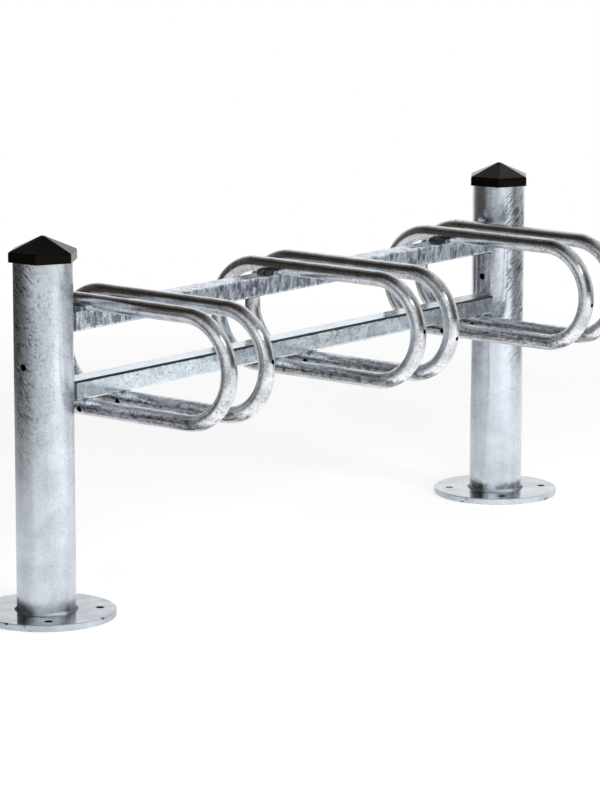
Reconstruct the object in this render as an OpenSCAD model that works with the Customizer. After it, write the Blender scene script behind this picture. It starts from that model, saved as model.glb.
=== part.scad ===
// Hoop bike rack for three wheels. Two round posts on bolted base plates carry
// two rectangular rails, and three pairs of closed tube hoops straddle the rails.
// X runs along the rails, -Y is the side where a wheel is pushed in, Z is up.
// The origin is on the ground, in the middle of the rack's outline.

/* [Posts] */
// Distance between the axes of the two posts
post_spacing = 1135; // [1130:5:1400]
// Outside diameter of a post tube
post_d = 88.9; // [76:0.1:96]
// Wall of a post tube
post_wall = 3; // [2:0.5:6]
// Height of the top of a post tube above the ground
post_top_z = 548; // [520:1:700]
// Diameter of the vent hole in each post
post_vent_d = 11; // [6:1:16]
// How far that hole lies below the middle of the gap between the rails
post_vent_drop = 6; // [0:1:20]

/* [Base plates] */
// Diameter of a base plate
plate_d = 210; // [200:1:220]
// Thickness of a base plate
plate_t = 10; // [6:1:16]
// Chamfer round the edges of a base plate
plate_chamfer = 1; // [0.5:0.5:2]
// Diameter of the circle that the bolt holes lie on
bolt_circle_d = 160; // [150:1:170]
// Diameter of a bolt hole
bolt_hole_d = 13; // [9:0.5:18]
// Diameter of the drain hole under the post
drain_d = 30; // [10:1:50]

/* [Caps] */
// Least wall of a cap outside the post, in the middle of a flat
cap_wall = 2.5; // [2:0.5:5]
// Height of the upright skirt of a cap
cap_skirt_h = 14; // [12:0.5:20]
// Height of the six-sided roof above the skirt
cap_roof_h = 23; // [15:0.5:35]
// Thickness of the roof at its tip
cap_roof_t = 4; // [2:0.5:6]
// How deep the post goes into the cap
cap_seat_h = 11; // [6:0.5:12]
// Rounding of the edges of a cap
cap_edge_r = 4; // [2:0.5:5]
// Rounding of the tip of a cap
cap_tip_r = 10; // [4:0.5:12]
// How far the left cap is turned on its post
left_cap_turn = 33; // [0:1:60]
// How far the right cap is turned on its post
right_cap_turn = 36; // [0:1:60]

/* [Rails] */
// Width of a rail from front to back
rail_w = 40; // [30:1:50]
// Height of a rail
rail_h = 30; // [20:1:40]
// Wall of a rail
rail_wall = 2; // [1.5:0.5:3]
// Outer rounding of the long edges of a rail
rail_edge_r = 3; // [2.5:0.5:5]
// Height of the underside of the lower rail above the ground
lower_rail_z = 321; // [200:1:340]
// Clear gap between the two rails
rail_gap = 75; // [50:1:90]

/* [Hoops] */
// Distance between the middles of two neighbouring wheel places
place_pitch = 450; // [200:5:455]
// Clear slot for a wheel between the two hoops of a pair
wheel_slot = 60; // [40:1:68]
// Outside diameter of the hoop tube
hoop_d = 25; // [20:0.5:28]
// Wall of the hoop tube
hoop_wall = 2; // [1.5:0.5:3]
// How far the hoops reach in front of the post axis
hoop_front_reach = 308; // [260:1:420]
// How far the hoops reach behind the post axis
hoop_rear_reach = 120; // [115:1:170]
// Diameter of the vent hole in the front bend of each hoop
front_vent_d = 7; // [4:0.5:10]
// Diameter of the vent hole in the side of each hoop, under the lower rail
side_vent_d = 9; // [4:0.5:10]
// How far the side vent lies in front of the post axis
side_vent_ahead = 12; // [0:1:60]

/* [Welds] */
// Leg of the weld between a post and its base plate
post_weld = 3.5; // [2:0.5:8]
// Leg of the welds over and under the end of a rail
rail_weld = 4; // [2:0.5:6]
// Width of the weld on the rail beside a hoop, from under the tube's middle
hoop_weld = 13.5; // [12:0.5:15]

/* [Hidden] */

// Clearance between curved faces that meet
fit = 0.15;
// How far a cut runs past the face that it opens
overrun = 5;
// How far a side vent points below level, in degrees
side_vent_turn = 14;
// How far a hoop's weld climbs round the tube, in degrees
hoop_weld_climb = 58;
// How far under the tube a hoop's weld reaches in from its side
hoop_weld_root = 4;
// How far above the middle of its bend each hoop's front vent is drilled, in degrees
front_vent_turns = [9, 6, 4, -10, -6, 0];
bolt_count = 4;
bolt_turn = 45;
cap_sides = 6;
steel = "#bcc4cc";
bright_steel = "#cfd6dc";
weld_grey = "#9aa2aa";
black_plastic = "#1b1b1d";

post_r = post_d / 2;
hoop_r = hoop_d / 2;
upper_rail_z = lower_rail_z + rail_h + rail_gap;
rails_top_z = upper_rail_z + rail_h;
middle_z = (lower_rail_z + rails_top_z) / 2;
bend_r = (rails_top_z - lower_rail_z + hoop_d) / 2;
hoop_straight = hoop_front_reach + hoop_rear_reach - 2 * bend_r - hoop_d;
post_y = (hoop_front_reach - hoop_rear_reach) / 2;
cap_flat_r = post_r + fit + cap_wall;
hoop_x = [for (place = [-1, 0, 1], side = [-1, 1]) place * place_pitch + side * (wheel_slot + hoop_d) / 2];

$fn = 96;

// Puts its children on the axis of the left (-1) or the right (1) post
module at_post(side) {
    translate([side * post_spacing / 2, post_y, 0]) children();
}

// A post tube with its vent hole, which faces -X on both posts
module post_tube() {
    color(steel) difference() {
        translate([0, 0, plate_t]) cylinder(h = post_top_z - plate_t, d = post_d);
        translate([0, 0, plate_t - overrun])
            cylinder(h = post_top_z - plate_t + 2 * overrun, r = post_r - post_wall);
        translate([-post_r + post_wall + overrun, 0, middle_z - post_vent_drop])
            rotate([0, -90, 0]) cylinder(h = post_wall + 2 * overrun, d = post_vent_d);
    }
}

// A round base plate with chamfered edges, bolt holes and a drain hole
module base_plate() {
    plate_r = plate_d / 2;
    color(bright_steel) difference() {
        rotate_extrude() polygon([
            [0, 0], [plate_r - plate_chamfer, 0], [plate_r, plate_chamfer],
            [plate_r, plate_t - plate_chamfer], [plate_r - plate_chamfer, plate_t], [0, plate_t]
        ]);
        translate([0, 0, -overrun]) cylinder(h = plate_t + 2 * overrun, d = drain_d);
        for (i = [0 : bolt_count - 1])
            rotate(bolt_turn + i * 360 / bolt_count) translate([bolt_circle_d / 2, 0, -overrun])
                cylinder(h = plate_t + 2 * overrun, d = bolt_hole_d);
    }
}

// The moulded outside of a cap: a six-sided skirt under a low roof, with soft edges
module cap_outside() {
    corner_r = (cap_flat_r - cap_edge_r) / cos(180 / cap_sides);
    hull() {
        for (i = [0 : cap_sides - 1]) rotate(i * 360 / cap_sides) translate([corner_r, 0, 0]) {
            cylinder(h = cap_skirt_h / 2, r = cap_edge_r, $fn = 32);
            translate([0, 0, cap_skirt_h - cap_edge_r / 2]) sphere(r = cap_edge_r, $fn = 32);
        }
        translate([0, 0, cap_skirt_h + cap_roof_h - cap_tip_r]) sphere(r = cap_tip_r, $fn = 32);
    }
}

// A cap shell with a round socket that sits on the top of the post
module cap(turn) {
    hollow_h = cap_skirt_h + cap_roof_h - cap_seat_h - cap_roof_t;
    color(black_plastic) translate([0, 0, post_top_z - cap_seat_h]) difference() {
        rotate(turn) cap_outside();
        translate([0, 0, -overrun]) cylinder(h = cap_seat_h + overrun, r = post_r + fit);
        translate([0, 0, cap_seat_h]) cylinder(h = hollow_h, r1 = post_r - post_wall, r2 = 0);
    }
}

// A rounded rectangle, the section of a rail, seen along X
module rail_section(grow) {
    w = rail_w + 2 * grow;
    h = rail_h + 2 * grow;
    r = rail_edge_r + grow;
    square([w - 2 * r, h], center = true);
    square([w, h - 2 * r], center = true);
    for (y = [-1, 1], z = [-1, 1]) translate([y * (w / 2 - r), z * (h / 2 - r)]) circle(r = r);
}

// A solid bar along X with the section of a rail, from one post axis to the other
module rail_bar(grow, length) {
    rotate([90, 0, 90]) linear_extrude(height = length, center = true) rail_section(grow);
}

// A rail: a box tube whose ends are cut to saddle the posts
module rail(z) {
    color(steel) difference() {
        translate([0, post_y, z + rail_h / 2]) difference() {
            rail_bar(0, post_spacing);
            rail_bar(-rail_wall, post_spacing + 2 * overrun);
        }
        for (side = [-1, 1]) at_post(side)
            translate([0, 0, z - overrun]) cylinder(h = rail_h + 2 * overrun, r = post_r + fit);
    }
}

// A closed loop of round bar in the YZ plane, with straight runs and half-circle bends
module loop_bar(r) {
    for (end = [-1, 1]) translate([0, end * hoop_straight / 2, 0]) rotate([0, 90, 0])
        rotate(end * 90 - 90) rotate_extrude(angle = 180) translate([bend_r, 0]) circle(r = r);
    for (z = [-bend_r, bend_r]) translate([0, hoop_straight / 2, z])
        rotate([90, 0, 0]) cylinder(h = hoop_straight, r = r);
}

// A hoop tube that straddles both rails, with a vent in its front bend and one in its side
module hoop(i) {
    color(bright_steel) translate([hoop_x[i], 0, middle_z]) difference() {
        loop_bar(hoop_r);
        loop_bar(hoop_r - hoop_wall);
        translate([0, -hoop_straight / 2, 0]) rotate([-front_vent_turns[i], 0, 0])
            translate([0, -bend_r, 0]) rotate([90, 0, 0])
                cylinder(h = hoop_r + overrun, d = front_vent_d);
        translate([0, post_y - side_vent_ahead, -bend_r]) rotate([0, -90 - side_vent_turn, 0])
            cylinder(h = hoop_r + overrun, d = side_vent_d);
    }
}

// The fillet weld round the foot of a post
module post_foot_weld() {
    color(weld_grey) rotate_extrude() polygon([
        [post_r + fit, plate_t], [post_r + post_weld, plate_t], [post_r + fit, plate_t + post_weld]
    ]);
}

// The two weld strips over and under the end of a rail, on the +X side of a post
module rail_end_weld() {
    strip_w = rail_w - 2 * rail_edge_r;
    difference() {
        for (under = [0, 1]) mirror([0, 0, under]) translate([0, 0, rail_h / 2]) intersection() {
            cylinder(h = rail_weld, r1 = post_r + rail_weld, r2 = post_r);
            translate([0, -strip_w / 2, 0]) cube([post_d, strip_w, rail_weld]);
        }
        cylinder(h = rail_h + 2 * overrun + 2 * rail_weld, r = post_r + fit, center = true);
    }
}

// The weld of one rail to one post: side is -1 for the left post and 1 for the right
module rail_weld_at(side, z) {
    color(weld_grey) at_post(side) translate([0, 0, z + rail_h / 2])
        mirror([side > 0 ? 1 : 0, 0, 0]) rail_end_weld();
}

// The section of one weld bead in the corner between a hoop tube and a flat rail face
module hoop_bead_section() {
    difference() {
        polygon([
            [hoop_weld_root, 0], [hoop_weld, 0],
            [hoop_r * sin(hoop_weld_climb), hoop_r * (1 - cos(hoop_weld_climb))]
        ]);
        translate([0, hoop_r]) circle(r = hoop_r + fit);
    }
}

// The four beads that hold one hoop on the upper rail and under the lower rail
module hoop_welds(i) {
    bead_length = rail_w - 2 * rail_edge_r;
    color(weld_grey) translate([hoop_x[i], post_y, middle_z])
        for (under = [0, 1], left = [0, 1]) mirror([0, 0, under]) mirror([left, 0, 0])
            translate([0, 0, bend_r - hoop_r]) rotate([90, 0, 0])
                linear_extrude(height = bead_length, center = true) hoop_bead_section();
}

module left_post() at_post(-1) post_tube();
module right_post() at_post(1) post_tube();
module left_base_plate() at_post(-1) base_plate();
module right_base_plate() at_post(1) base_plate();
module left_cap() at_post(-1) cap(left_cap_turn);
module right_cap() at_post(1) cap(right_cap_turn);
module left_post_weld() at_post(-1) post_foot_weld();
module right_post_weld() at_post(1) post_foot_weld();

left_post();
right_post();
left_base_plate();
right_base_plate();
left_cap();
right_cap();
rail(upper_rail_z);  // upper_rail
rail(lower_rail_z);  // lower_rail
hoop(0);  // left_place_left_hoop
hoop(1);  // left_place_right_hoop
hoop(2);  // middle_place_left_hoop
hoop(3);  // middle_place_right_hoop
hoop(4);  // right_place_left_hoop
hoop(5);  // right_place_right_hoop
left_post_weld();
right_post_weld();
rail_weld_at(-1, upper_rail_z);  // upper_rail_left_weld
rail_weld_at(1, upper_rail_z);  // upper_rail_right_weld
rail_weld_at(-1, lower_rail_z);  // lower_rail_left_weld
rail_weld_at(1, lower_rail_z);  // lower_rail_right_weld
hoop_welds(0);  // left_place_left_hoop_welds
hoop_welds(1);  // left_place_right_hoop_welds
hoop_welds(2);  // middle_place_left_hoop_welds
hoop_welds(3);  // middle_place_right_hoop_welds
hoop_welds(4);  // right_place_left_hoop_welds
hoop_welds(5);  // right_place_right_hoop_welds
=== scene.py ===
import math

import bpy
from mathutils import Matrix, Vector


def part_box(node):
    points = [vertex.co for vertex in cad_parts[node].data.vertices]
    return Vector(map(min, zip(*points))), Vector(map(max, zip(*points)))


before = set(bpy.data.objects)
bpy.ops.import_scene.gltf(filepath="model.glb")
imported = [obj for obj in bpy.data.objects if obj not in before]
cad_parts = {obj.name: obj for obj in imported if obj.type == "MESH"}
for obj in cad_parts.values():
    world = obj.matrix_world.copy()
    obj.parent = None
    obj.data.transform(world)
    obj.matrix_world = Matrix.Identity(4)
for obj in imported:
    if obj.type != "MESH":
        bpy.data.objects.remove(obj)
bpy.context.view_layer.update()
scene = bpy.context.scene

# Places that the looks follow, in metres, from the CAD nodes. The left post mirrors the right one.
post_low, post_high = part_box("right_post")
rail_low, rail_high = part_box("lower_rail")
POST_X = (post_low.x + post_high.x) / 2.0
POST_Y = (post_low.y + post_high.y) / 2.0
POST_RADIUS = (post_high.x - post_low.x) / 2.0
PLATE_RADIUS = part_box("right_base_plate")[1].x - POST_X
RAIL_FRONT = rail_low.y
RAIL_TOP = rail_high.z
# The height of the axis of the hoops' lower tubes, which touch the lower rail from below
LOWER_TUBE = (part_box("left_place_left_hoop")[0].z + rail_low.z) / 2.0

# Where marks and painted shade lie, in metres. Two numbers are the ends of a fade, and four say where a band
# starts, is full, fades and ends. On the posts they count outward round the post, up it, and to either side
# of its front.
# The outer side of a post's upper half has real hatching strokes and painted shade that darkens it
HATCHED_SHADED_SIDE = (0.004, 0.028, 0.085, 0.11)
UPPER_MARKS_AND_SHADE = (0.20, 0.36)
# Painted shade at the foot of each post: how high it reaches, and how far to either side of the front it
# lies
FOOT_SHADE_HEIGHTS = (0.006, 0.034)
SIDE_SHADE_SPAN = (0.019, 0.030)
# On the rails they count from the left post, from the lower rail's top front edge, and along X
SEAM_SHADE = (0.00455, 0.00685)
EDGE_REFLECTION_SPAN = (0.0044, 0.0060)
DARK_END = (0.28, 0.42)
# On the hoops they count up from the axis of the lower tubes
DULL_BAND = (-0.0080, -0.0035, 0.0, 0.0095)
CROWN_BAND = (0.0, 0.0075, 0.0155, 0.0365)
# On and under the base plates they count out from the plate's edge
PLATE_RIM = (-0.0020, -0.0008)
COVERED_FLOOR = (-0.013, -0.005)

# The turn round a post, in radians, between the side that faces -Y and the side that the photograph shows
SHOWN_TURN = 0.89
# How far the pattern of each post is shifted up or down, so that the two posts differ
PATTERN_SHIFT = 1.7
# Dark spots on the base plates' rims: the side of the rack, the bearing in degrees from +X, and the height
RIM_MARKS = [(-1, 188.21, 0.0090), (-1, 276.01, 0.0095), (1, 74.02, 0.0095)]
RIM_MARK_RADIUS = 0.0055
DIRT = (0.05, 0.055, 0.06)
WHITE = (1.0, 1.0, 1.0, 1.0)


# Camera

def make_camera():
    """The camera stands where the photograph's perspective puts it."""
    stand = Vector((-4.53526, -3.62535, 1.35741))
    heading, dip, roll = math.radians(39.154), math.radians(10.74), math.radians(0.095)
    forward = Vector((math.cos(dip) * math.cos(heading), math.cos(dip) * math.sin(heading), -math.sin(dip)))
    level = Vector((math.sin(heading), -math.cos(heading), 0.0))
    upright = level.cross(forward)
    right = level * math.cos(roll) + upright * math.sin(roll)
    up = upright * math.cos(roll) - level * math.sin(roll)
    data = bpy.data.cameras.new("camera")
    data.sensor_width = 36.0
    data.lens = 167.71
    data.clip_end = 60.0
    camera = bpy.data.objects.new("camera", data)
    turn = Matrix((right, up, -forward)).transposed().to_4x4()
    camera.matrix_world = Matrix.Translation(stand) @ turn
    scene.collection.objects.link(camera)
    scene.camera = camera


# Material tools

class Shader:
    """The node tree of a material or a world, with short calls that add and link nodes."""

    def __init__(self, owner, output="ShaderNodeOutputMaterial"):
        owner.use_nodes = True
        self.owner = owner
        self.tree = owner.node_tree
        self.tree.nodes.clear()
        self.output = self.add(output)

    def add(self, kind, settings=None, **inputs):
        """A new node. The names of inputs have _ for a space."""
        node = self.tree.nodes.new(kind)
        for key, value in (settings or {}).items():
            setattr(node, key, value)
        for key, value in inputs.items():
            self.set(node, key.replace("_", " "), value)
        return node

    def set(self, node, key, value):
        """Links or sets one input, given by its name or its number."""
        socket = node.inputs[key]
        if isinstance(value, bpy.types.NodeSocket):
            self.tree.links.new(value, socket)
        else:
            socket.default_value = value

    def math(self, operation, a, b=0.0, clamp=False):
        node = self.add("ShaderNodeMath", {"operation": operation, "use_clamp": clamp})
        self.set(node, 0, a)
        self.set(node, 1, b)
        return node.outputs[0]

    def times(self, first, *others):
        """The product of the values."""
        for other in others:
            first = self.math("MULTIPLY", first, other)
        return first

    def most(self, first, *others):
        """The greatest of the values."""
        for other in others:
            first = self.math("MAXIMUM", first, other)
        return first

    def vector(self, operation, *values):
        """A vector operation, with its result in the output Vector or Value."""
        node = self.add("ShaderNodeVectorMath", {"operation": operation})
        for index, value in enumerate(values):
            self.set(node, index, value)
        return node

    def split(self, where):
        """The X, Y and Z of a place."""
        return self.add("ShaderNodeSeparateXYZ", Vector=where).outputs[:3]

    def coordinates(self):
        """The object's own coordinates in metres, which are those of the whole rack."""
        return self.add("ShaderNodeTexCoord").outputs["Object"]

    def stretch(self, where, scale=(1.0, 1.0, 1.0), turn=(0.0, 0.0, 0.0)):
        """Coordinates that are turned and scaled."""
        node = self.add("ShaderNodeMapping", Vector=where)
        node.inputs["Scale"].default_value = scale
        node.inputs["Rotation"].default_value = turn
        return node.outputs[0]

    def noise(self, where, scale, detail=4.0, roughness=0.55, distortion=0.0):
        return self.add("ShaderNodeTexNoise", Vector=where, Scale=scale, Detail=detail, Roughness=roughness,
                        Distortion=distortion).outputs[0]

    def cells(self, where, scale, feature="F1"):
        """Cells, with a colour for each and the distance from its middle."""
        return self.add("ShaderNodeTexVoronoi", {"feature": feature}, Vector=where, Scale=scale)

    def span(self, value, low, high, to_low=0.0, to_high=1.0):
        """Value from low..high onto to_low..to_high, smoothly and with both ends held."""
        settings = {"interpolation_type": "SMOOTHSTEP", "clamp": True}
        node = self.add("ShaderNodeMapRange", settings, Value=value)
        for key, number in (("From Min", low), ("From Max", high), ("To Min", to_low), ("To Max", to_high)):
            node.inputs[key].default_value = number
        return node.outputs[0]

    def band(self, value, start, full, fade, end):
        """One from full to fade, falling smoothly to zero at start and end."""
        return self.times(self.span(value, start, full), self.span(value, fade, end, 1.0, 0.0))

    def blend(self, parts, base=0.0):
        """The base and the weighted sum of (value, weight) parts."""
        total = base
        for value, weight in parts:
            total = self.math("ADD", self.math("MULTIPLY", value, weight), total)
        return total

    def mix(self, amount, a, b):
        """A colour between the colours a and b."""
        node = self.add("ShaderNodeMix", {"data_type": "RGBA"})
        self.set(node, 0, amount)
        for index, value in ((6, a), (7, b)):
            self.set(node, index, value if isinstance(value, bpy.types.NodeSocket) else (*value, 1.0))
        return node.outputs[2]

    def bumped(self, bumps):
        """The normal after one or more (height, strength, distance) bumps."""
        normal = None
        for height, strength, distance in bumps:
            node = self.add("ShaderNodeBump", Height=height, Strength=strength, Distance=distance)
            if normal is not None:
                self.set(node, "Normal", normal)
            normal = node.outputs[0]
        return normal

    def seen(self):
        """One for what the camera sees directly, mirrored or through glass, and zero for other light."""
        rays = self.add("ShaderNodeLightPath")
        total = self.math("ADD", rays.outputs["Is Camera Ray"], rays.outputs["Is Glossy Ray"])
        return self.math("ADD", total, rays.outputs["Is Transmission Ray"], clamp=True)

    def show(self, shader):
        """Ends the tree in a shader node and returns the material or world."""
        self.set(self.output, 0, shader.outputs[0])
        return self.owner

    def finish(self, **inputs):
        """Ends the tree in a Principled shader and returns the material."""
        return self.show(self.add("ShaderNodeBsdfPrincipled", None, **inputs))


def new_look(name):
    """The empty node tree of a new material."""
    return Shader(bpy.data.materials.new(name))


# Materials

def crystals(s, where, scale, warp=0.010):
    """A grey per crystal of the zinc, with uneven outlines."""
    push = s.noise(where, scale * 0.7, 3.0, 0.6)
    pushes = s.add("ShaderNodeCombineXYZ", X=push, Y=push, Z=push).outputs[0]
    bent = s.vector("MULTIPLY_ADD", pushes, (warp, warp, warp), where).outputs["Vector"]
    return s.add("ShaderNodeSeparateColor", Color=s.cells(bent, scale).outputs["Color"]).outputs[0]


def strokes(s, where, turn, scale, thin, low, high):
    """Short thin strokes along one direction of the where plane (X across, Z up)."""
    turned = s.stretch(where, turn=(0.0, math.radians(turn), 0.0))
    lined = s.stretch(turned, (thin, 1.0, 0.8))
    return s.span(s.noise(lined, scale, 3.0, 0.55, 0.2), low, high)


def round_posts(s):
    """Coordinates wrapped round both posts, and the outward distance, the height and the side of the rack.

    The outward distance runs round the post from its photographed side, away from the middle of the rack.
    It is X of the wrapped coordinates. Their Z is the height, shifted for each post.
    """
    x, y, z = s.split(s.coordinates())
    side = s.math("SIGN", x)
    east = s.math("SUBTRACT", x, s.times(side, POST_X))
    north = s.math("SUBTRACT", y, POST_Y)
    turn = s.math("ADD", s.math("ARCTAN2", east, s.times(north, -1.0)), SHOWN_TURN)
    outward = s.times(turn, side, POST_RADIUS)
    up = s.blend([(side, PATTERN_SHIFT)], z)
    where = s.add("ShaderNodeCombineXYZ", X=outward, Y=side, Z=up).outputs[0]
    return where, outward, z, side


def shaded_foot_sides(s, outward, side):
    """Where painted shade darkens the foot of a post: left and right of the front, a little off centre."""
    off = s.blend([(side, -0.0065), (outward, 1.0)], 0.0025)
    return s.span(s.math("ABSOLUTE", off), *SIDE_SHADE_SPAN)


def beyond_plate(s, where):
    """The level distance beyond the edge of the nearer base plate, negative inside it."""
    x, y, _ = s.split(where)
    east = s.math("SUBTRACT", s.math("ABSOLUTE", x), POST_X)
    north = s.math("SUBTRACT", y, POST_Y)
    from_post = s.math("SQRT", s.math("ADD", s.times(east, east), s.times(north, north)))
    return s.math("SUBTRACT", from_post, PLATE_RADIUS)


def rim_mark(s, where, side, bearing, height):
    """One within a ragged low spot on the rim of a base plate, fading to zero outside it."""
    flatten = (1.0, 1.0, 2.2)
    angle = math.radians(bearing)
    x = side * POST_X + PLATE_RADIUS * math.cos(angle)
    y = POST_Y + PLATE_RADIUS * math.sin(angle)
    middle = (x * flatten[0], y * flatten[1], height * flatten[2])
    gap = s.vector("DISTANCE", s.stretch(where, flatten), middle).outputs["Value"]
    ragged = s.blend([(s.noise(where, 170.0, 3.0, 0.6), RIM_MARK_RADIUS)], gap)
    return s.span(ragged, RIM_MARK_RADIUS, RIM_MARK_RADIUS * 1.5, 1.0, 0.0)


def zinc(s, tone, dark, light, roughness, bumps, flecks=None):
    """Galvanised steel whose grey runs from dark to light with tone, under dark flecks."""
    colour = s.mix(s.math("ADD", tone, 0.0, clamp=True), dark, light)
    if flecks is not None:
        colour = s.mix(flecks, colour, DIRT)
    roughness = s.math("ADD", roughness, 0.0, clamp=True)
    return s.finish(Base_Color=colour, Metallic=1.0, Roughness=roughness, Normal=s.bumped(bumps))


def post_zinc():
    """Zinc with soft clouds, dark hatching and painted shade on the outer side of the upper half, and
    painted shade in patches at the foot.
    """
    s = new_look("post_zinc_look")
    where, outward, height, side = round_posts(s)
    cloud = s.span(s.noise(where, 14.0, 4.0, 0.55, 0.4), 0.34, 0.66)
    grain = crystals(s, where, 210.0)
    fine = s.noise(where, 480.0, 3.0, 0.7)
    runs = s.span(s.noise(s.stretch(where, (3.2, 1.0, 0.22)), 22.0, 3.0, 0.5, 0.4), 0.36, 0.66)

    upper = s.span(height, *UPPER_MARKS_AND_SHADE)
    hatched_and_shaded = s.times(s.band(outward, *HATCHED_SHADED_SIDE), upper)
    patch = s.span(s.noise(where, 24.0, 3.0, 0.55), 0.38, 0.54)
    deep = strokes(s, where, -48.0, 58.0, 3.6, 0.50, 0.59)
    deep = s.times(deep, hatched_and_shaded, patch, s.blend([(side, 0.05)], 0.95))
    pale = strokes(s, where, -45.0, 62.0, 3.8, 0.56, 0.66)
    pale = s.times(pale, s.blend([(hatched_and_shaded, 0.85)], 0.15))

    wide = s.times(s.span(s.blend([(outward, 1.0), (side, -0.028)]), -0.018, 0.042), upper)
    clusters = s.span(s.noise(where, 34.0, 3.0, 0.6), 0.42, 0.58, 0.14, 1.0)
    clusters = s.times(clusters, s.span(outward, -0.015, 0.028, 0.50, 1.0))
    specks = s.span(s.noise(where, 195.0, 3.0, 0.70), 0.50, 0.61)
    specks = s.times(specks, s.math("ADD", s.times(wide, clusters), 0.03))
    # Painted shade: dark patches at the foot of the post, left and right of its front
    shade_patches = s.span(s.noise(where, 60.0, 3.0, 0.6), 0.30, 0.55)
    foot = s.times(s.span(height, *FOOT_SHADE_HEIGHTS, 1.0, 0.0), shaded_foot_sides(s, outward, side), shade_patches)

    # Painted shade: the -0.22 weight of the hatched band darkens the outer side of each post's upper half,
    # under its real strokes and specks
    tone = s.blend([(cloud, 0.26), (grain, 0.12), (fine, 0.22), (pale, 0.40), (deep, -0.60), (runs, 0.10),
                    (hatched_and_shaded, -0.22)], 0.22)
    roughness = s.blend([(cloud, -0.05), (grain, 0.05), (deep, 0.10), (pale, -0.05), (side, -0.05)], 0.22)
    ridges = s.blend([(pale, 1.0), (deep, -1.0), (runs, 0.8)])
    bumps = [(cloud, 0.30, 0.0010), (ridges, 0.40, 0.00025), (grain, 0.10, 0.00010), (fine, 0.10, 0.00010)]
    flecks = s.most(s.times(specks, 0.85), s.times(deep, 0.82), s.times(foot, 0.80))
    return zinc(s, tone, (0.36, 0.385, 0.43), (0.82, 0.885, 0.96), roughness, bumps, flecks)


def rail_zinc(name, dark, light, streaked, lower=False):
    """Zinc with upright spangle and painted shade in the seam at the left post.

    The lower rail also has a painted dark reflection along its top front edge, and its right end is darker.
    """
    s = new_look(name)
    where = s.coordinates()
    x, y, z = s.split(where)
    upright = s.stretch(where, (1.9, 1.9, 0.9))
    spangle = crystals(s, upright, 64.0, 0.02)
    veins = s.noise(upright, 62.0, 4.0, 0.65, 0.6)
    cloud = s.span(s.noise(where, 30.0, 4.0, 0.6), 0.35, 0.65)
    fine = s.noise(where, 520.0, 3.0, 0.7)
    specks = s.span(s.noise(where, 230.0, 3.0, 0.6), 0.60, 0.70)
    from_left_post = s.math("ADD", x, POST_X - POST_RADIUS)
    # Painted shade: a dark line in the joint where the rail meets the left post
    seam_shade = s.span(from_left_post, *SEAM_SHADE, 1.0, 0.0)

    tone = s.blend([(spangle, 0.60 * streaked), (s.span(veins, 0.40, 0.60), 0.80 * streaked), (cloud, 0.26),
                    (fine, 0.20)], 0.35 - 0.60 * streaked)
    roughness = s.blend([(spangle, 0.14), (cloud, -0.06), (fine, 0.06)], 0.14)
    ridges = s.blend([(spangle, 0.5), (veins, 1.0)])
    bumps = [(cloud, 0.25, 0.0008), (ridges, 0.45 * streaked, 0.0005), (fine, 0.12, 0.00012)]
    flecks = s.most(s.times(specks, 0.75), s.times(seam_shade, 0.85))
    if lower:
        # Painted reflection: a dark line along the rounded top front edge of the lower rail
        ahead = s.math("ABSOLUTE", s.math("SUBTRACT", y, RAIL_FRONT))
        above = s.math("ABSOLUTE", s.math("SUBTRACT", z, RAIL_TOP))
        from_edge = s.blend([(above, 1.0), (s.noise(where, 40.0), 0.0036)], ahead)
        painted_edge_reflection = s.span(from_edge, *EDGE_REFLECTION_SPAN, 1.0, 0.0)
        dark_end = s.times(s.span(veins, 0.38, 0.56, 0.45, 1.0), s.span(x, *DARK_END, 0.0, 0.62))
        flecks = s.most(flecks, painted_edge_reflection, dark_end)
    return zinc(s, tone, dark, light, roughness, bumps, flecks)


def upper_rail_zinc():
    """The darker, strongly spangled zinc of the upper rail."""
    return rail_zinc("upper_rail_zinc_look", (0.14, 0.175, 0.235), (0.78, 0.865, 0.95), 0.90)


def lower_rail_zinc():
    """The paler zinc of the lower rail."""
    return rail_zinc("lower_rail_zinc_look", (0.50, 0.58, 0.66), (0.86, 0.94, 1.0), 0.30, lower=True)


def tube_zinc():
    """Bright smooth zinc with a slightly uneven skin and ragged stains, as on the hoops.

    The lower tubes are dull and grimy, with a paler and rougher crown above.
    """
    s = new_look("hoop_zinc_look")
    where = s.coordinates()
    above_axis = s.math("SUBTRACT", s.split(where)[2], LOWER_TUBE)
    low = s.band(above_axis, *DULL_BAND)
    crown = s.band(above_axis, *CROWN_BAND)
    cloud = s.span(s.noise(where, 34.0, 4.0, 0.6), 0.34, 0.66)
    mottle = s.noise(where, 260.0, 4.0, 0.70, 0.4)
    grit = s.noise(where, 420.0, 3.0, 0.75)
    fine = s.noise(where, 620.0, 2.0, 0.7)
    pits = s.span(s.noise(where, 330.0, 3.0, 0.7), 0.60, 0.68)
    dull = s.times(low, s.span(s.noise(where, 26.0, 3.0, 0.5), 0.24, 0.52))
    stained = s.span(s.noise(where, 14.0, 3.0, 0.5), 0.40, 0.62)
    stain = s.span(s.noise(where, 210.0, 4.0, 0.65, 0.4), 0.50, 0.66)
    stain = s.times(stain, s.blend([(stained, 0.7), (dull, 0.9)]))
    grime = s.span(s.noise(s.stretch(where, (1.0, 0.5, 1.0)), 190.0, 4.0, 0.72), 0.50, 0.59)
    grime = s.times(grime, s.blend([(low, 0.85), (crown, 0.42)]))

    tone = s.blend([(cloud, 0.36), (mottle, 0.50), (fine, 0.26), (stain, -0.50), (dull, -0.60),
                    (crown, 0.55)])
    roughness = s.blend([(cloud, -0.03), (mottle, 0.08), (stain, 0.12), (dull, 0.10), (crown, 0.20)], 0.045)
    bumps = [(cloud, 0.18, 0.0006), (mottle, 0.66, 0.00034), (grit, 0.55, 0.00022), (fine, 0.14, 0.00008)]
    flecks = s.most(s.times(stain, 0.55), s.times(pits, 0.55), grime)
    return zinc(s, tone, (0.36, 0.365, 0.38), (0.89, 0.92, 0.96), roughness, bumps, flecks)


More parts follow.
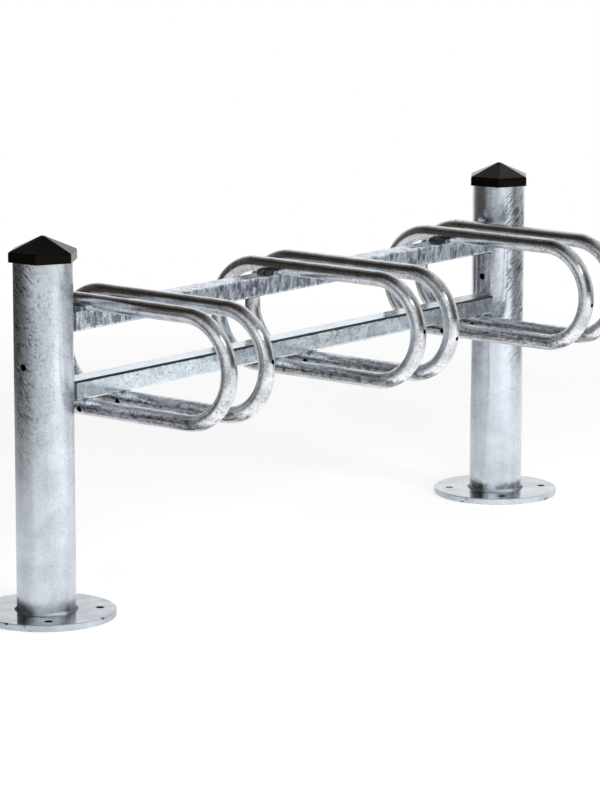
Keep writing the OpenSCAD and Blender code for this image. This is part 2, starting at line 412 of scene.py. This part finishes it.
def plate_zinc():
    """Thick glossy zinc, set almost like a mirror, that is duller and marked along the base plates' rims."""
    s = new_look("plate_zinc_look")
    where = s.coordinates()
    rim = s.span(beyond_plate(s, where), *PLATE_RIM)
    on_right_plate = s.span(s.split(where)[0], -0.01, 0.01)
    swell = s.noise(where, 24.0, 3.0, 0.5, 0.3)
    cloud = s.span(s.noise(where, 30.0, 5.0, 0.6), 0.35, 0.65)
    fine = s.noise(where, 420.0, 3.0, 0.7)
    dirt = s.span(s.noise(where, 120.0, 3.0, 0.6), 0.62, 0.72)
    dashes = s.times(rim, s.span(s.noise(where, 55.0, 3.0, 0.6), 0.64, 0.70))

    tone = s.blend([(cloud, 0.45), (fine, 0.50), (on_right_plate, 0.30), (rim, 0.40)], -0.30)
    roughness = s.blend([(cloud, 0.07), (fine, 0.04), (dirt, 0.20), (rim, 0.42)], 0.04)
    bumps = [(swell, 0.45, 0.0008), (fine, 0.06, 0.00006)]
    flecks = s.most(s.times(dirt, 0.35), s.times(dashes, 0.80))
    for mark in RIM_MARKS:
        flecks = s.most(flecks, s.times(rim_mark(s, where, *mark), 0.95))
    return zinc(s, tone, (0.37, 0.405, 0.45), (0.69, 0.74, 0.81), roughness, bumps, flecks)


def weld_zinc():
    """Lumpy galvanised weld metal."""
    s = new_look("weld_zinc_look")
    where = s.coordinates()
    lumps = s.cells(where, 260.0, "SMOOTH_F1").outputs["Distance"]
    cloud = s.span(s.noise(where, 90.0, 4.0, 0.6), 0.35, 0.65)
    fine = s.noise(where, 700.0, 3.0, 0.7)
    tone = s.blend([(cloud, 0.55), (fine, 0.40), (lumps, -0.40)])
    roughness = s.blend([(cloud, 0.08), (fine, 0.08)], 0.10)
    bumps = [(lumps, 0.70, 0.0012), (cloud, 0.45, 0.0010), (fine, 0.15, 0.00012)]
    return zinc(s, tone, (0.26, 0.28, 0.31), (0.86, 0.90, 0.95), roughness, bumps)


def foot_weld_zinc():
    """The smooth matt bead at the foot of a post, darkened at its sides by painted shade, that hardly stands
    out.
    """
    s = new_look("foot_weld_zinc_look")
    where = s.coordinates()
    lumps = s.noise(where, 110.0, 3.0, 0.6)
    cloud = s.span(s.noise(where, 40.0, 4.0, 0.6), 0.35, 0.65)
    fine = s.noise(where, 600.0, 3.0, 0.7)
    _, outward, _, side = round_posts(s)
    # Painted shade: dark patches on the bead, left and right of the post's front
    shade_patches = s.span(s.noise(where, 60.0, 3.0, 0.6), 0.24, 0.50, 0.35, 0.80)
    shade_patches = s.times(shaded_foot_sides(s, outward, side), shade_patches)
    tone = s.blend([(cloud, 0.30), (fine, 0.20), (lumps, 0.20)], 0.40)
    roughness = s.blend([(cloud, 0.08), (fine, 0.08)], 0.46)
    bumps = [(lumps, 0.40, 0.0010), (fine, 0.15, 0.00012)]
    return zinc(s, tone, (0.46, 0.50, 0.55), (0.84, 0.88, 0.93), roughness, bumps, shade_patches)


def black_plastic():
    """Moulded black plastic with a fine grain and faint handling marks."""
    s = new_look("cap_plastic_look")
    where = s.coordinates()
    cloud = s.noise(where, 22.0, 5.0, 0.6)
    grain = s.noise(where, 900.0, 2.0, 0.6)
    scuff = s.span(s.noise(s.stretch(where, (3.0, 14.0, 14.0), (0.3, 0.5, 0.2)), 40.0, 4.0, 0.6), 0.60, 0.72)
    colour = s.mix(s.span(cloud, 0.3, 0.7), (0.0022, 0.0019, 0.0018), (0.0048, 0.0042, 0.0040))
    colour = s.mix(s.times(scuff, 0.35), colour, (0.016, 0.015, 0.0145))
    roughness = s.blend([(scuff, 0.12)], s.span(cloud, 0.3, 0.7, 0.07, 0.14))
    normal = s.bumped([(cloud, 0.10, 0.0010), (grain, 0.08, 0.00008)])
    return s.finish(Base_Color=colour, Roughness=roughness, Normal=normal, Specular_IOR_Level=0.12,
                    Specular_Tint=(0.78, 0.66, 0.42, 1.0))


# A CAD node takes the first look whose word is in its name
LOOKS = [
    ("post_weld", foot_weld_zinc),
    ("weld", weld_zinc),
    ("hoop", tube_zinc),
    ("plate", plate_zinc),
    ("upper_rail", upper_rail_zinc),
    ("lower_rail", lower_rail_zinc),
    ("cap", black_plastic),
    ("post", post_zinc),
]


def dress_nodes():
    """Gives each CAD node its look, and makes each look once."""
    made = {}
    for name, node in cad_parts.items():
        word, make_look = next(item for item in LOOKS if item[0] in name)
        if word not in made:
            made[word] = make_look()
        node.data.materials.clear()
        node.data.materials.append(made[word])


# Studio

FLOOR_REACH = 14.0
FLOOR_DROP = 0.0005
FLOOR_FADE = (1.0, 2.6)
FLOOR_GLOW = 0.52
WORLD_FILL = 0.32
ROOF_HEIGHT = 3.1
SHADE_HEIGHT = 0.001
LIGHT_AIM = Vector((0.0, 0.0, 0.3))

# The tent wall's radius at the floor, and its corners by the angle from +X
TENT_RADIUS = 1.80
TENT_TURNS = range(60, 365, 4)
# How bright the wall is at the floor, at the rack's height and near the roof, by the same angle
TENT_LOW = [(60, 0.60), (70, 0.10), (95, 0.07), (118, 0.08), (135, 0.11), (152, 0.15), (167, 0.26),
            (183, 0.42), (205, 0.56), (228, 0.78), (237, 1.10), (246, 1.40), (262, 1.45), (278, 1.35),
            (290, 1.30), (300, 0.60), (309, 0.24), (325, 0.31), (345, 0.34), (364, 0.90)]
TENT_HIGH = [(60, 0.80), (76, 0.50), (92, 0.20), (104, 0.17), (118, 0.14), (130, 0.08), (144, 0.05),
             (150, 0.15), (158, 0.50), (172, 0.80), (189, 1.10), (205, 1.15), (222, 0.95), (240, 0.50),
             (252, 0.20), (262, 0.12), (281, 0.09), (295, 0.11), (304, 0.20), (318, 0.60), (329, 0.90),
             (345, 0.95), (364, 0.95)]
TENT_TOP = [(60, 0.40), (76, 0.20), (95, 0.12), (112, 0.04), (128, 0.02), (150, 0.03), (163, 0.10),
            (176, 0.24), (186, 0.22), (206, 0.28), (240, 0.30), (288, 0.35), (325, 0.50), (344, 0.65),
            (364, 0.90)]
# How far each ring of the wall stands out from that radius, its height, and its place between the tones:
# 0 is TENT_LOW, 1 is TENT_HIGH and 2 is TENT_TOP
TENT_RINGS = [(0.0, 0.003, 0.0), (0.05, 0.20, 0.12), (0.15, 0.50, 1.0), (0.30, 1.2, 1.0), (0.30, 2.2, 2.0),
              (0.30, 3.0, 2.0)]


def mixed(stops, at):
    """The value at a place between sorted (place, value) stops."""
    for (low, first), (high, second) in zip(stops, stops[1:]):
        if low <= at <= high:
            return first + (second - first) * (at - low) / (high - low)
    return stops[-1][1]


def make_tent():
    """A graded studio wall round the rack, open behind it."""
    points, tones = [], []
    for turn in TENT_TURNS:
        angle = math.radians(turn)
        levels = [(step, mixed(stops, turn)) for step, stops in enumerate((TENT_LOW, TENT_HIGH, TENT_TOP))]
        for lean, height, level in TENT_RINGS:
            radius = TENT_RADIUS + lean
            points.append((radius * math.cos(angle), radius * math.sin(angle), height))
            tones.append(mixed(levels, level))
    make_card("tent", points, len(TENT_RINGS), tones)


def make_roof():
    """A soft ceiling, dark over the rack and brighter ahead and to the right."""
    columns = (-2.4, -1.0, 0.2, 1.0, 2.4)
    rows = [(-2.4, (0.25, 0.30, 0.50, 0.62, 0.70)), (-1.0, (0.25, 0.30, 0.50, 0.62, 0.70)),
            (-0.55, (0.20, 0.27, 0.42, 0.62, 0.70)), (-0.2, (0.12, 0.15, 0.22, 0.40, 0.50)),
            (0.1, (0.06, 0.08, 0.12, 0.20, 0.30)), (1.2, (0.03, 0.03, 0.05, 0.12, 0.30)),
            (1.8, (0.03, 0.05, 0.14, 0.34, 0.70)), (2.4, (0.03, 0.07, 0.26, 0.60, 0.95))]
    make_sheet("roof", ROOF_HEIGHT, columns, rows)


def make_shade():
    """A dimmer stretch of ground behind the rack."""
    columns = (-1.7, 0.0, 1.0)
    rows = [(0.14, (0.84, 0.84, 0.84)), (0.55, (0.80, 0.80, 0.80)), (0.85, (0.66, 0.66, 0.66)),
            (1.30, (0.46, 0.48, 0.50)), (1.70, (0.26, 0.30, 0.34))]
    make_sheet("shade", SHADE_HEIGHT, columns, rows)


def make_sheet(name, height, columns, rows):
    """A level card with a tone for each column in each (y, tones) row."""
    points = [(x, y, height) for y, _ in rows for x in columns]
    make_card(name, points, len(columns), [tone for _, tones in rows for tone in tones])


def make_card(name, points, n, tones):
    """A studio card that only reflections see, from rows of n points with a tone for each point."""
    mesh = bpy.data.meshes.new(name)
    corners = [n * row + column for row in range(len(points) // n - 1) for column in range(n - 1)]
    mesh.from_pydata(points, [], [(i, i + 1, i + n + 1, i + n) for i in corners])
    paint(mesh, tones)
    card = bpy.data.objects.new(name, mesh)
    scene.collection.objects.link(card)
    card.visible_camera = False
    card.visible_diffuse = False
    card.visible_shadow = False


def paint(mesh, tones):
    """Makes a studio card glow with one tone per point, warmer where it is dark."""
    layer = mesh.color_attributes.new("tone", "FLOAT_COLOR", "POINT")
    for item, tone in zip(layer.data, tones):
        warm = 1.0 - min(1.0, tone / 0.3)
        item.color = (tone, tone * (1.0 - 0.18 * warm), tone * (1.0 - 0.32 * warm), 1.0)
    s = new_look(mesh.name + "_look")
    painted = s.add("ShaderNodeAttribute", {"attribute_name": "tone"}).outputs["Color"]
    mesh.materials.append(s.show(s.add("ShaderNodeEmission", Color=painted)))


def make_floor():
    """A wide white floor that keeps the rack's soft shadow and fades to plain white further out.

    Where the base plates cover it, it is painted dark as shade and doesn't glow.
    """
    mesh = bpy.data.meshes.new("floor")
    ways = [(-1, -1), (1, -1), (1, 1), (-1, 1)]
    corners = [(FLOOR_REACH * x, FLOOR_REACH * y, -FLOOR_DROP) for x, y in ways]
    mesh.from_pydata(corners, [], [(0, 1, 2, 3)])
    s = new_look("floor_look")
    where = s.coordinates()
    near = s.span(s.vector("LENGTH", where).outputs["Value"], *FLOOR_FADE, 1.0, 0.0)
    # Painted shade: under the base plates the floor is dark and doesn't glow
    uncovered = s.span(beyond_plate(s, where), *COVERED_FLOOR)
    seen = s.seen()
    matt = s.add("ShaderNodeBsdfDiffuse", Color=s.mix(uncovered, (0.06, 0.06, 0.06), (0.80, 0.80, 0.80)))
    glow = s.add("ShaderNodeEmission", Color=WHITE, Strength=s.times(seen, FLOOR_GLOW, uncovered))
    lit = s.add("ShaderNodeAddShader")
    s.set(lit, 0, matt.outputs[0])
    s.set(lit, 1, glow.outputs[0])
    white = s.add("ShaderNodeEmission", Color=WHITE, Strength=seen)
    both = s.add("ShaderNodeMixShader", Fac=near)
    s.set(both, 1, white.outputs[0])
    s.set(both, 2, lit.outputs[0])
    mesh.materials.append(s.show(both))
    floor = bpy.data.objects.new("floor", mesh)
    scene.collection.objects.link(floor)


def make_world():
    """White where the camera or a reflection looks past the floor, and a soft fill elsewhere."""
    s = Shader(bpy.data.worlds.new("studio"), "ShaderNodeOutputWorld")
    back = s.add("ShaderNodeBackground", Color=WHITE, Strength=s.most(s.seen(), WORLD_FILL))
    scene.world = s.show(back)


def soft_light(name, turn, climb, distance, width, height, watts):
    """A rectangular soft box that looks at the rack, at a turn from +X and a climb above the floor."""
    a, e = math.radians(turn), math.radians(climb)
    way = Vector((math.cos(a) * math.cos(e), math.sin(a) * math.cos(e), math.sin(e)))
    data = bpy.data.lights.new(name, "AREA")
    data.shape = "RECTANGLE"
    data.size = width
    data.size_y = height
    data.energy = watts
    light = bpy.data.objects.new(name, data)
    light.location = LIGHT_AIM + way * distance
    light.rotation_euler = way.to_track_quat("Z", "Y").to_euler()
    scene.collection.objects.link(light)


make_camera()
dress_nodes()
make_floor()
make_world()
make_tent()
make_shade()
make_roof()
soft_light("front_softbox", turn=238.0, climb=30.0, distance=2.6, width=0.9, height=1.3, watts=16.0)
soft_light("side_softbox", turn=278.0, climb=14.0, distance=2.4, width=0.9, height=1.6, watts=20.0)
soft_light("top_softbox", turn=20.0, climb=80.0, distance=3.0, width=2.2, height=2.2, watts=18.0)

scene.view_settings.view_transform = "Standard"
